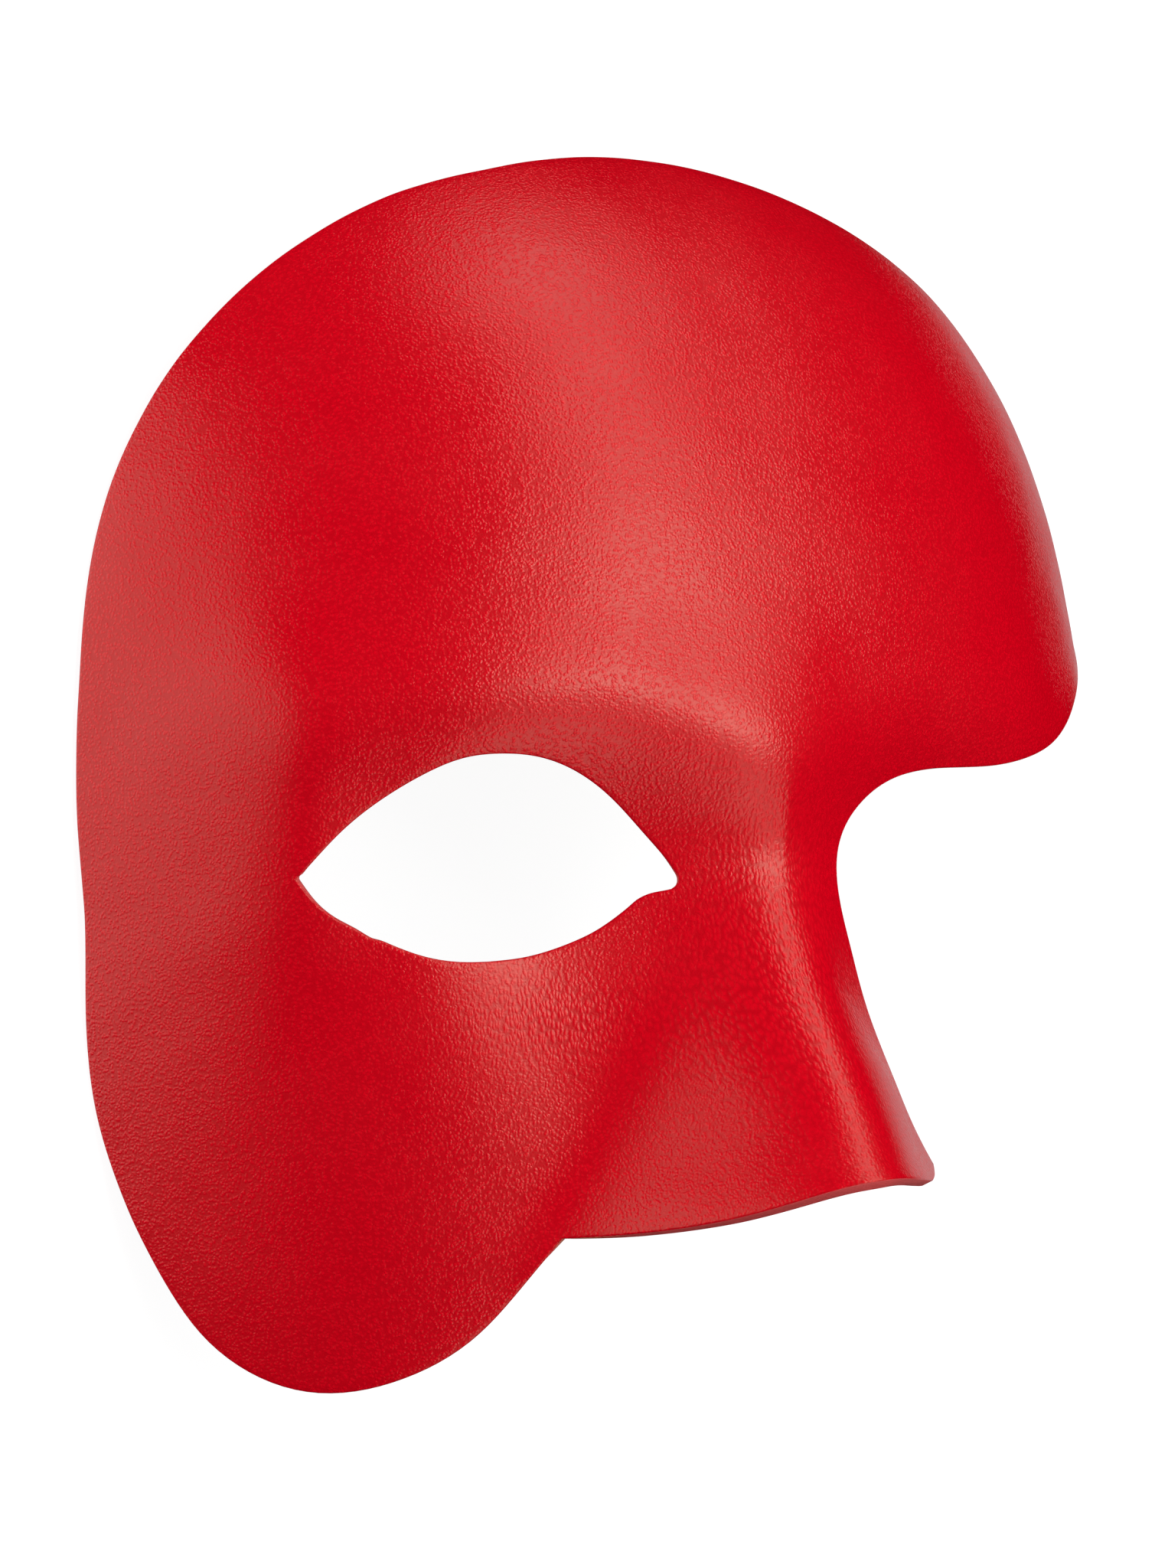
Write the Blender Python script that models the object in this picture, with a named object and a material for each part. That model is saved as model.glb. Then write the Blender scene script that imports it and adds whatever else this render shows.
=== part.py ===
"""A one-eyed half mask of moulded leather, lying on its rim with its face up.

The mask is one sheet of leather, wet formed over a face mould and cut to shape. It is drawn
first as seen from the front: x runs across the face, y up the face from the eye line, and z
out of the face. The sheet is then laid down on the places of its rim that it rests on, with
+Z up, +Y towards the forehead and the origin under the middle of its bounding box.
"""

import math

import bmesh
import bpy
import numpy as np
from mathutils import Vector

MM = 0.001

# The leather
LEATHER_THICKNESS = 2.2
LEATHER_RED = (0.55, 0.003, 0.008, 1.0)
LEATHER_ROUGHNESS = 0.42

# The head under the mask: half its breadth, its depth, and how fast it closes up and down
HEAD_HALF_BREADTH = 91.7
HEAD_DEPTH = 88.5
HEAD_CENTRE_Y = 16.3
HEAD_RISE = 99.2
HEAD_FALL = 180.0
HEAD_SQUARENESS = 2.42
HEAD_UP_SQUARENESS = 2.1

# How the mask lies: turned by these angles about X and Y, and lowered so far that a little of its
# rim is pared flat where it rests
REST_TURN_X = -1.43
REST_TURN_Y = 5.95
REST_MOVE = (10.39, -7.42, 47.25)

# Brow, eye socket, cheek bone and temple, each with its place, its reach and its height. The brow is
# lower over the uncovered eye
BROW_HEIGHT = 4.7
BROW_Y = 15.3
BROW_REACH = 12.7
BROW_ARCH_X = 53.0
BROW_ARCH = 0.0028
BROW_FADE = (69.0, 88.0)
FAR_BROW_SHARE = 0.55
FAR_BROW_FROM = (-10.0, 15.0)
SOCKET_DEPTH = 10.8
SOCKET_CENTRE = (30.0, -14.6)
SOCKET_REACH = (19.0, 25.5)
CHEEK_HEIGHT = 5.6
CHEEK_CENTRE = (26.0, -21.8)
CHEEK_REACH = (21.0, 17.5)
TEMPLE_HEIGHT = 4.5
TEMPLE_CENTRE = (70.0, -3.7)
TEMPLE_REACH = (8.5, 24.0)

# The nose: its ridge from the brow to the tip as (y, z), the slopes of its two sides and the
# roundness of its ridge. The side towards the covered eye falls more steeply
NOSE_RIDGE = (
    (60.0, -60.0),
    (34.0, -18.6),
    (15.0, -5.8),
    (0.0, -7.5),
    (-12.0, 0.0),
    (-25.0, 9.2),
    (-38.0, 18.7),
    (-50.0, 26.4),
    (-62.0, 34.4),
    (-80.0, 22.0),
    (-100.0, -20.0),
)
NOSE_NEAR_SLOPE = 2.6
NOSE_FAR_SLOPE = 1.34
NOSE_RIDGE_RADIUS = 6.1
NOSE_BLEND = 5.2

# The cut line of the rim from the front, as runs between its corners: along the foot of the nose,
# over the cut-off tip, and from the tip round the brow and the forehead to the notch by the nose
NOSE_FOOT_RUN = (
    (-30.9, -61.5),
    (-25.2, -60.9),
    (-17.9, -59.1),
    (-9.8, -55.7),
    (-3.5, -53.6),
    (3.1, -52.8),
    (10.6, -52.9),
    (18.5, -52.5),
)
TIP_RUN = (
    (18.5, -52.5),
    (21.6, -51.5),
    (23.2, -50.2),
)
OUTER_RUN = (
    (23.2, -50.2),
    (19.2, -44.0),
    (14.5, -32.1),
    (12.5, -18.8),
    (11.7, -5.1),
    (15.4, 1.7),
    (22.4, 6.0),
    (31.4, 8.0),
    (41.7, 8.7),
    (50.1, 10.2),
    (57.4, 13.0),
    (62.6, 17.1),
    (67.6, 22.3),
    (73.8, 29.1),
    (74.8, 37.9),
    (73.0, 47.9),
    (68.9, 59.6),
    (60.6, 72.5),
    (50.0, 83.2),
    (36.1, 91.6),
    (20.8, 97.4),
    (6.8, 100.2),
    (-9.4, 100.3),
    (-26.2, 97.3),
    (-40.9, 92.9),
    (-53.7, 86.0),
    (-64.5, 77.1),
    (-73.0, 66.6),
    (-79.4, 54.5),
    (-83.6, 41.1),
    (-85.6, 27.3),
    (-86.2, 13.4),
    (-86.0, -0.6),
    (-85.1, -14.5),
    (-84.2, -28.4),
    (-82.5, -42.3),
    (-79.2, -55.5),
    (-74.5, -67.8),
    (-68.0, -78.4),
    (-58.7, -83.8),
    (-48.6, -82.0),
    (-39.6, -75.4),
    (-33.7, -66.4),
    (-30.9, -61.5),
)

# The cut line of the eye hole: from the mark below the eye to the inner corner by the nose, over
# the upper lid to the outer corner, and back along the lower lid
LOWER_LID_END_RUN = (
    (-41.5, -21.5),
    (-34.8, -20.4),
    (-28.5, -18.2),
    (-23.1, -14.8),
    (-18.1, -11.2),
    (-15.0, -8.7),
)
UPPER_LID_RUN = (
    (-15.0, -8.7),
    (-20.0, -2.5),
    (-24.9, 2.1),
    (-31.1, 5.9),
    (-37.9, 7.9),
    (-44.7, 8.0),
    (-50.5, 6.4),
    (-59.8, -0.1),
    (-68.0, -9.6),
)
LOWER_LID_RUN = (
    (-68.0, -9.6),
    (-59.5, -17.1),
    (-48.2, -21.3),
    (-41.5, -21.5),
)

# Places on the rim that lie opposite places on the eye hole, and the steps up to the next pair
OPPOSITE = (
    ((-30.9, -61.5), (-41.5, -21.5), 22),
    ((18.5, -52.5), (-21.0, -13.3), 2),
    ((23.2, -50.2), (-19.6, -12.3), 18),
    ((20.2, 5.0), (-15.0, -8.7), 16),
    ((73.8, 29.1), (-37.9, 7.9), 44),
    ((-64.5, 77.1), (-57.0, 2.2), 18),
    ((-86.0, -0.6), (-68.0, -9.6), 14),
    ((-74.5, -67.8), (-54.5, -19.3), 10),
)
RINGS = 14
SETTLE_ROUNDS = 400
EVENNESS = 0.75


def natural_spline(knots, values):
    """Returns the natural cubic spline through (knot, value) pairs as a function of an array."""
    knots = np.asarray(knots, float)
    values = np.asarray(values, float).reshape(len(knots), -1)
    gaps = np.diff(knots)
    slopes = np.diff(values, axis=0) / gaps[:, None]
    count = len(knots)
    system = np.eye(count)
    target = np.zeros((count, values.shape[1]))
    for i in range(1, count - 1):
        system[i, i - 1 : i + 2] = gaps[i - 1], 2 * (gaps[i - 1] + gaps[i]), gaps[i]
        target[i] = 6 * (slopes[i] - slopes[i - 1])
    bends = np.linalg.solve(system, target)

    def read(places):
        places = np.atleast_1d(np.asarray(places, float))
        i = np.clip(np.searchsorted(knots, places) - 1, 0, count - 2)
        gap, rest = gaps[i][:, None], (places - knots[i])[:, None]
        ahead = gap - rest
        curve = (bends[i] * ahead**3 + bends[i + 1] * rest**3) / (6 * gap)
        chord = (values[i] / gap - bends[i] * gap / 6) * ahead
        chord += (values[i + 1] / gap - bends[i + 1] * gap / 6) * rest
        return curve + chord

    return read


def ease(start, end, value):
    """Runs smoothly from 0 at start to 1 at end."""
    t = np.clip((value - start) / (end - start), 0.0, 1.0)
    return t * t * (3 - 2 * t)


def bump(x, y, centre, reach):
    """A round swelling of height 1 at its centre, with the given reach across and up."""
    return np.exp(-(((x - centre[0]) / reach[0]) ** 2) - ((y - centre[1]) / reach[1]) ** 2)


NOSE_PROFILE = natural_spline(*zip(*reversed(NOSE_RIDGE)))


def head_height(x, y):
    """The height z of the bare head at the points (x, y), without brow, socket, cheek and nose."""
    reach = np.where(y > HEAD_CENTRE_Y, HEAD_RISE, HEAD_FALL)
    across = (np.abs(x) / HEAD_HALF_BREADTH) ** HEAD_SQUARENESS
    closed = across + (np.abs(y - HEAD_CENTRE_Y) / reach) ** HEAD_UP_SQUARENESS
    return HEAD_DEPTH * (np.sqrt(np.clip(1 - closed, 1e-3, None)) - 1)


def mould_height(x, y):
    """The height z of the face mould at the points (x, y), in millimetres."""
    x, y = np.asarray(x, float), np.asarray(y, float)
    side = np.abs(x)
    brow_line = BROW_Y - BROW_ARCH * (side - BROW_ARCH_X) ** 2
    brow = np.exp(-(((y - brow_line) / BROW_REACH) ** 2))
    brow = brow * (1 - ease(*BROW_FADE, side)) * (1 - (1 - FAR_BROW_SHARE) * ease(*FAR_BROW_FROM, x))
    face = head_height(x, y) + BROW_HEIGHT * brow
    face = face - SOCKET_DEPTH * bump(side, y, SOCKET_CENTRE, SOCKET_REACH)
    face = face + CHEEK_HEIGHT * bump(side, y, CHEEK_CENTRE, CHEEK_REACH)
    face = face + TEMPLE_HEIGHT * bump(side, y, TEMPLE_CENTRE, TEMPLE_REACH)
    slope = np.where(x < 0, NOSE_NEAR_SLOPE, NOSE_FAR_SLOPE)
    round_part = NOSE_RIDGE_RADIUS * slope
    fall = slope * (np.sqrt(x * x + round_part * round_part) - round_part)
    nose = NOSE_PROFILE(y)[:, 0] - fall
    higher = np.maximum(face, nose)
    return higher + NOSE_BLEND * np.log(
        np.exp((face - higher) / NOSE_BLEND) + np.exp((nose - higher) / NOSE_BLEND)
    )


def lifted(flat):
    """Puts points of the front view, an array of (x, y), on the mould."""
    return np.column_stack([flat, mould_height(flat[:, 0], flat[:, 1])])


def unrolling(places, heights):
    """The lengths along a curve of the head from its place 0 to each of the places."""
    steps = np.hypot(np.diff(places), np.diff(heights))
    along = np.concatenate([[0.0], np.cumsum(steps)])
    return along - np.interp(0.0, places, along)


ACROSS = np.linspace(-90.0, 90.0, 361)
UP = np.linspace(-100.0, 110.0, 421)
ACROSS_UNROLLED = unrolling(ACROSS, head_height(ACROSS, np.full_like(ACROSS, HEAD_CENTRE_Y)))
UP_UNROLLED = unrolling(UP, head_height(np.zeros_like(UP), UP))


def unrolled(flat):
    """Where points (x, y) of the front view come on the leather rolled out flat."""
    across = np.interp(flat[..., 0], ACROSS, ACROSS_UNROLLED)
    return np.stack([across, np.interp(flat[..., 1], UP, UP_UNROLLED)], axis=-1)


def rolled_back(flat):
    """Where points on the leather rolled out flat come in the front view."""
    across = np.interp(flat[..., 0], ACROSS_UNROLLED, ACROSS)
    return np.stack([across, np.interp(flat[..., 1], UP_UNROLLED, UP)], axis=-1)


def smooth_run(points):
    """A fine line of points, smooth from the first of the points given to the last."""
    points = np.asarray(points, float)
    chords = np.sqrt(np.linalg.norm(np.diff(points, axis=0), axis=1))
    knots = np.concatenate([[0.0], np.cumsum(chords)])
    return natural_spline(knots, points)(np.linspace(0.0, knots[-1], 40 * len(points)))


def cut_line(runs, marks):
    """The closed line of the runs, divided evenly over the mould between the marked places.

    Each mark is a place, where the line gets a corner of the mesh, with the steps up to the
    next mark. The first mark is the start of the first run.
    """
    fine = np.vstack([smooth_run(run)[:-1] for run in runs] + [runs[0][:1]])
    lengths = np.linalg.norm(np.diff(lifted(fine), axis=0), axis=1)
    along = np.concatenate([[0.0], np.cumsum(lengths)])
    places = [along[np.argmin(np.linalg.norm(fine[:-1] - mark, axis=1))] for mark, _ in marks]
    places.append(along[-1])
    even = np.concatenate([
        np.linspace(start, end, steps, endpoint=False)
        for start, end, (_, steps) in zip(places, places[1:], marks)
    ])
    return np.column_stack([np.interp(even, along, fine[:, 0]), np.interp(even, along, fine[:, 1])])


def settled_grid(eye, rim):
    """Fills the leather between the eye hole and the rim with rings and spokes.

    The rings start evenly spaced on straight spokes. They then settle by the usual method for
    smooth grids, which keeps them from folding over at the hollow stretches of the rim.
    """
    share = np.linspace(0.0, 1.0, RINGS + 1)[:, None, None]
    grid = (1 - share) * unrolled(eye) + share * unrolled(rim)
    for _ in range(SETTLE_ROUNDS):
        after, before = np.roll(grid, -1, axis=1), np.roll(grid, 1, axis=1)
        along = (after - before)[1:-1] / 2
        across = (grid[2:] - grid[:-2]) / 2
        twist = (after[2:] - before[2:] - after[:-2] + before[:-2]) / 4
        a = np.sum(across * across, axis=-1, keepdims=True)
        b = np.sum(across * along, axis=-1, keepdims=True)
        c = np.sum(along * along, axis=-1, keepdims=True)
        moved = a * (after + before)[1:-1] + c * (grid[2:] + grid[:-2]) - 2 * b * twist
        grid[1:-1] += 0.8 * (moved / (2 * (a + c)) - grid[1:-1])
    return rolled_back(np.stack([evened(spoke) for spoke in grid.swapaxes(0, 1)], axis=1))


def evened(spoke):
    """Slides the points of a spoke along it, most of the way to an even spacing."""
    steps = np.linalg.norm(np.diff(spoke, axis=0), axis=1)
    along = np.concatenate([[0.0], np.cumsum(steps)])
    even = np.linspace(0.0, along[-1], len(along))
    places = EVENNESS * even + (1 - EVENNESS) * along
    return np.column_stack([np.interp(places, along, spoke[:, 0]), np.interp(places, along, spoke[:, 1])])


def leather_sheet():
    """The outer face of the leather, as an open mesh on the mould, in metres."""
    rim_marks = [(rim, steps) for rim, _, steps in OPPOSITE]
    eye_marks = [(eye, steps) for _, eye, steps in OPPOSITE]
    rim = cut_line((NOSE_FOOT_RUN, TIP_RUN, OUTER_RUN), rim_marks)
    eye = cut_line((LOWER_LID_END_RUN, UPPER_LID_RUN, LOWER_LID_RUN), eye_marks)
    grid = settled_grid(eye, rim)
    closed = np.concatenate([grid, grid[:, :1]], axis=1)
    sheet = bmesh.new()
    steps = len(rim)
    bmesh.ops.create_grid(sheet, x_segments=steps, y_segments=RINGS)
    for vert, place in zip(sheet.verts, lifted(closed.reshape(-1, 2))):
        vert.co = Vector(place) * MM
    bmesh.ops.remove_doubles(sheet, verts=sheet.verts, dist=0.001 * MM)
    bmesh.ops.recalc_face_normals(sheet, faces=sheet.faces)
    if sum(face.normal.z for face in sheet.faces) < 0:
        bmesh.ops.reverse_faces(sheet, faces=sheet.faces)
    return sheet


def mask_shell():
    """The leather as an object of true thickness, in the place where it lies."""
    mesh = bpy.data.meshes.new("leather_mask")
    sheet = leather_sheet()
    sheet.to_mesh(mesh)
    sheet.free()
    mask = bpy.data.objects.new("leather_mask", mesh)
    bpy.context.scene.collection.objects.link(mask)
    mask.rotation_euler = (math.radians(REST_TURN_X), math.radians(REST_TURN_Y), 0.0)
    mask.location = Vector(REST_MOVE) * MM
    leather = mask.modifiers.new("leather", "SOLIDIFY")
    leather.thickness = LEATHER_THICKNESS * MM
    leather.offset = -1.0
    leather.use_even_offset = True
    return mask


def pare_flats(mask):
    """Pares the lowest spots of the rim flat, level with the ground."""
    mesh = bpy.data.meshes.new("ground_cutter")
    block = bmesh.new()
    bmesh.ops.create_cube(block, size=1.0)
    bmesh.ops.scale(block, vec=(0.3, 0.3, 0.02), verts=block.verts)
    bmesh.ops.translate(block, vec=(0.0, 0.0, -0.01), verts=block.verts)
    block.to_mesh(mesh)
    block.free()
    cutter = bpy.data.objects.new("ground_cutter", mesh)
    bpy.context.scene.collection.objects.link(cutter)
    cutter.hide_render = True
    cutter.display_type = "WIRE"
    flats = mask.modifiers.new("flats", "BOOLEAN")
    flats.operation = "DIFFERENCE"
    flats.solver = "EXACT"
    flats.object = cutter


def red_leather():
    """The satin red finish of the leather."""
    material = bpy.data.materials.new("red_leather")
    material.use_nodes = True
    shader = material.node_tree.nodes["Principled BSDF"]
    shader.inputs["Base Color"].default_value = LEATHER_RED
    shader.inputs["Roughness"].default_value = LEATHER_ROUGHNESS
    shader.inputs["Metallic"].default_value = 0.0
    return material


def main():
    """Builds the mask."""
    for old in list(bpy.data.objects):
        bpy.data.objects.remove(old)
    mask = mask_shell()
    mask.data.materials.append(red_leather())
    pare_flats(mask)


main()
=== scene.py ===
"""The looks of a one-eyed half mask of moulded red leather, lying face up on a white table.

The mask is one sheet of leather: wet formed over a face mould, cut by hand, dyed and waxed. It is
drawn in its own frame, as seen from the front, in millimetres: x runs across the face, y up the
face from the eye line, and z out of the face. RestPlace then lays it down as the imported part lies.
The camera and the lights are placed round the face in the same frame.
"""

import logging
import math
from dataclasses import dataclass
from enum import IntEnum

import bmesh
import bpy
import numpy as np
import numpy.typing as npt
from mathutils import Euler, Matrix, Vector, noise


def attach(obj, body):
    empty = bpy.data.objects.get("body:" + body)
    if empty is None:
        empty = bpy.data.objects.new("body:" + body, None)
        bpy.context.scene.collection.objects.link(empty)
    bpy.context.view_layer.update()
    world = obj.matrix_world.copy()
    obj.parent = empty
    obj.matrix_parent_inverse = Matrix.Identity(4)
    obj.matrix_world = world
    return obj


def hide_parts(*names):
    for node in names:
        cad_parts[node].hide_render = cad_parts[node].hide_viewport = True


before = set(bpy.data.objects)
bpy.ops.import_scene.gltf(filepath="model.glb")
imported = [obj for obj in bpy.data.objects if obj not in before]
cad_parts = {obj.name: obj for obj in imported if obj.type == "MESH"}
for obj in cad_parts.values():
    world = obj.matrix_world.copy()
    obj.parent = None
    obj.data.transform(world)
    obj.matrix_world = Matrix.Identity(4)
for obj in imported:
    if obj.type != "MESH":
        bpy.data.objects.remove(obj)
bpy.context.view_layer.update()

log = logging.getLogger("leather_mask")

FloatArray = npt.NDArray[np.float64]
Point = tuple[float, float]
Run = tuple[Point, ...]
Socket = bpy.types.NodeSocket
SocketValue = Socket | float | tuple[float, ...]

MM = 0.001
WHITE = "#FFFFFF"

# The mask's UV map and vertex attributes, which its finishes read
FLAT_MAP = "rolled_out"
STRETCH = "stretch"
RAWNESS = "rawness"
BLEED = "bleed"

# Nearly all of a noise texture's values lie between these two
NOISE_LOW = 0.3
NOISE_HIGH = 0.7


def linear(colour: str) -> tuple[float, float, float, float]:
    """Turns an sRGB hex colour into the linear colour that a shader works in.

    Args:
        colour: The colour as "#RRGGBB".

    Returns:
        Red, green, blue and an alpha of 1.
    """
    channels = [int(colour[i : i + 2], 16) / 255 for i in (1, 3, 5)]
    red, green, blue = (
        c / 12.92 if c <= 0.04045 else ((c + 0.055) / 1.055) ** 2.4 for c in channels
    )
    return red, green, blue, 1.0


def per_metre(size: float) -> float:
    """The texture scale that makes one cell of a pattern this many millimetres wide."""
    return 1 / (size * MM)


def add_node(
    tree: bpy.types.NodeTree,
    kind: str,
    inputs: dict[str | int, SocketValue] | None = None,
    **settings: object,
) -> bpy.types.Node:
    """Adds one node with its settings and links.

    Args:
        tree: The node tree that gets the node.
        kind: The node's type, such as "ShaderNodeMath".
        inputs: For each input by name or number, a socket to link or a value to set.
        **settings: The node's own properties.

    Returns:
        The new node.
    """
    node = tree.nodes.new(kind)
    for name, value in settings.items():
        setattr(node, name, value)
    for name, value in (inputs or {}).items():
        if isinstance(value, Socket):
            tree.links.new(value, node.inputs[name])
        else:
            node.inputs[name].default_value = value
    return node


def new_material(name: str) -> tuple[bpy.types.Material, bpy.types.NodeTree, bpy.types.Node]:
    """Makes a material with a Principled shader.

    Args:
        name: The material's name.

    Returns:
        The material, its nodes and that shader.
    """
    made = bpy.data.materials.new(name)
    made.use_nodes = True
    return made, made.node_tree, made.node_tree.nodes["Principled BSDF"]


class NaturalSpline:
    """The natural cubic spline through values given at knots."""

    def __init__(self, knots: FloatArray, values: FloatArray) -> None:
        """Works out how the spline bends at each knot.

        Args:
            knots: The places of the values, rising.
            values: One number or one point for each knot.
        """
        self.knots = np.asarray(knots, float)
        self.values = np.asarray(values, float).reshape(len(self.knots), -1)
        gaps = np.diff(self.knots)
        slopes = np.diff(self.values, axis=0) / gaps[:, None]
        count = len(self.knots)
        system = np.eye(count)
        target = np.zeros((count, self.values.shape[1]))
        for i in range(1, count - 1):
            system[i, i - 1 : i + 2] = gaps[i - 1], 2 * (gaps[i - 1] + gaps[i]), gaps[i]
            target[i] = 6 * (slopes[i] - slopes[i - 1])
        self.gaps = gaps
        self.bends = np.linalg.solve(system, target)

    def __call__(self, places: FloatArray) -> FloatArray:
        """Reads the spline.

        Args:
            places: Where to read it.

        Returns:
            One row for each place.
        """
        places = np.atleast_1d(np.asarray(places, float))
        i = np.clip(np.searchsorted(self.knots, places) - 1, 0, len(self.gaps) - 1)
        gap, rest = self.gaps[i][:, None], (places - self.knots[i])[:, None]
        ahead = gap - rest
        curve = (self.bends[i] * ahead**3 + self.bends[i + 1] * rest**3) / (6 * gap)
        chord = (self.values[i] / gap - self.bends[i] * gap / 6) * ahead
        chord += (self.values[i + 1] / gap - self.bends[i + 1] * gap / 6) * rest
        return curve + chord


def ease(start: float, end: float, value: FloatArray) -> FloatArray:
    """Runs smoothly from 0 at start to 1 at end."""
    t = np.clip((value - start) / (end - start), 0.0, 1.0)
    return t * t * (3 - 2 * t)


@dataclass(frozen=True)
class Swelling:
    """A round swelling of the mould, or a hollow where its height is negative."""

    height: float
    centre: Point
    reach: Point

    def rise(self, x: FloatArray, y: FloatArray) -> FloatArray:
        """How far it lifts the mould at the points (x, y)."""
        across = ((x - self.centre[0]) / self.reach[0]) ** 2
        return self.height * np.exp(-across - ((y - self.centre[1]) / self.reach[1]) ** 2)


@dataclass(frozen=True)
class Head:
    """The bare head under the mask: its half breadth, its depth and how it closes up and down.

    Outside its outline, where the share left of its roundness would pass below least_left, it
    runs on level.
    """

    half_breadth: float = 91.7
    depth: float = 88.5
    centre_y: float = 16.3
    rise: float = 99.2
    fall: float = 180.0
    squareness: float = 2.42
    up_squareness: float = 2.1
    least_left: float = 0.001

    def height(self, x: FloatArray, y: FloatArray) -> FloatArray:
        """Works out how high the head is.

        Args:
            x: Places across the face.
            y: Places up the face.

        Returns:
            The height z at each place (x, y), which is 0 at the head's foremost point.
        """
        reach = np.where(y > self.centre_y, self.rise, self.fall)
        across = (np.abs(x) / self.half_breadth) ** self.squareness
        closed = across + (np.abs(y - self.centre_y) / reach) ** self.up_squareness
        return self.depth * (np.sqrt(np.clip(1 - closed, self.least_left, None)) - 1)


@dataclass(frozen=True)
class Brow:
    """The brow ridge: it arches over the eyes and dies away at the temples.

    Over the bare eye it has only a share of its height.
    """

    height: float = 4.7
    y: float = 15.3
    reach: float = 12.7
    arch_x: float = 53.0
    arch: float = 0.0028
    fade: Point = (69.0, 88.0)
    far_share: float = 0.55
    far_from: Point = (-10.0, 15.0)

    def rise(self, x: FloatArray, y: FloatArray) -> FloatArray:
        """Works out how far the ridge lifts the mould.

        Args:
            x: Places across the face.
            y: Places up the face.

        Returns:
            The lift at each place (x, y).
        """
        side = np.abs(x)
        line = self.y - self.arch * (side - self.arch_x) ** 2
        across = np.exp(-(((y - line) / self.reach) ** 2))
        share = 1 - (1 - self.far_share) * ease(*self.far_from, x)
        return self.height * across * (1 - ease(*self.fade, side)) * share


@dataclass(frozen=True)
class Nose:
    """The nose: its ridge from the brow past the tip as (y, z), its two slopes and its roundness.

    The side towards the covered eye falls more steeply.
    """

    ridge: Run = (
        (60.0, -60.0),
        (34.0, -18.6),
        (15.0, -5.8),
        (0.0, -7.5),
        (-12.0, 0.0),
        (-25.0, 9.2),
        (-38.0, 18.7),
        (-50.0, 26.4),
        (-62.0, 34.4),
        (-80.0, 22.0),
        (-100.0, -20.0),
    )
    near_slope: float = 2.6
    far_slope: float = 1.34
    ridge_radius: float = 6.1

    def height(self, x: FloatArray, y: FloatArray) -> FloatArray:
        """Works out how high the nose is, drawn on past where it meets the face.

        Args:
            x: Places across the face.
            y: Places up the face.

        Returns:
            The height z at each place (x, y).
        """
        slope = np.where(x < 0, self.near_slope, self.far_slope)
        round_part = self.ridge_radius * slope
        fall = slope * (np.sqrt(x * x + round_part * round_part) - round_part)
        places, heights = zip(*reversed(self.ridge))
        return NaturalSpline(places, heights)(y)[:, 0] - fall


@dataclass(frozen=True)
class Mould:
    """The face mould that the leather is formed on, and its outline rolled out flat."""

    head: Head = Head()
    brow: Brow = Brow()
    socket: Swelling = Swelling(-10.8, (30.0, -14.6), (19.0, 25.5))
    cheek: Swelling = Swelling(5.6, (26.0, -21.8), (21.0, 17.5))
    temple: Swelling = Swelling(4.5, (70.0, -3.7), (8.5, 24.0))
    nose: Nose = Nose()
    nose_blend: float = 5.2
    across: Point = (-90.0, 90.0)
    up: Point = (-100.0, 110.0)
    unroll_step: float = 0.5

    def height(self, x: FloatArray, y: FloatArray) -> FloatArray:
        """Works out how high the mould is, with the nose blended into the face.

        Args:
            x: Places across the face.
            y: Places up the face.

        Returns:
            The height z at each place (x, y).
        """
        x, y = np.asarray(x, float), np.asarray(y, float)
        face = self.head.height(x, y) + self.brow.rise(x, y)
        for swelling in (self.socket, self.cheek, self.temple):
            face = face + swelling.rise(np.abs(x), y)
        nose = self.nose.height(x, y)
        higher = np.maximum(face, nose)
        return higher + self.nose_blend * np.log(
            np.exp((face - higher) / self.nose_blend) + np.exp((nose - higher) / self.nose_blend)
        )

    def lifted(self, flat: FloatArray) -> FloatArray:
        """Puts points of the front view, an array of (x, y), on the mould."""
        return np.column_stack([flat, self.height(flat[:, 0], flat[:, 1])])

    def unroll_tables(self) -> tuple[FloatArray, FloatArray, FloatArray, FloatArray]:
        """Measures the head along its widest line across and along its middle line up.

        Returns:
            The places across and their lengths from the middle, then the same going up.
        """
        tables = []
        for (low, high), is_across in ((self.across, True), (self.up, False)):
            places = np.linspace(low, high, round((high - low) / self.unroll_step) + 1)
            if is_across:
                heights = self.head.height(places, np.full_like(places, self.head.centre_y))
            else:
                heights = self.head.height(np.zeros_like(places), places)
            steps = np.hypot(np.diff(places), np.diff(heights))
            along = np.concatenate([[0.0], np.cumsum(steps)])
            tables += [places, along - np.interp(0.0, places, along)]
        return tuple(tables)

    def unrolled(self, flat: FloatArray) -> FloatArray:
        """Rolls places of the front view out flat.

        Args:
            flat: The places (x, y) in the front view.

        Returns:
            Where each comes on the leather rolled out flat.
        """
        across, across_flat, up, up_flat = self.unroll_tables()
        u = np.interp(flat[..., 0], across, across_flat)
        return np.stack([u, np.interp(flat[..., 1], up, up_flat)], axis=-1)

    def rolled_back(self, flat: FloatArray) -> FloatArray:
        """Rolls places on the flat leather back over the head.

        Args:
            flat: The places on the leather rolled out flat.

        Returns:
            Where each comes in the front view.
        """
        across, across_flat, up, up_flat = self.unroll_tables()
        x = np.interp(flat[..., 0], across_flat, across)
        return np.stack([x, np.interp(flat[..., 1], up_flat, up)], axis=-1)


@dataclass(frozen=True)
class Crossing:
    """A spoke of the mesh from the rim to the eye hole, and the steps up to the next crossing."""

    rim: Point
    eye: Point
    steps: int


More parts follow.
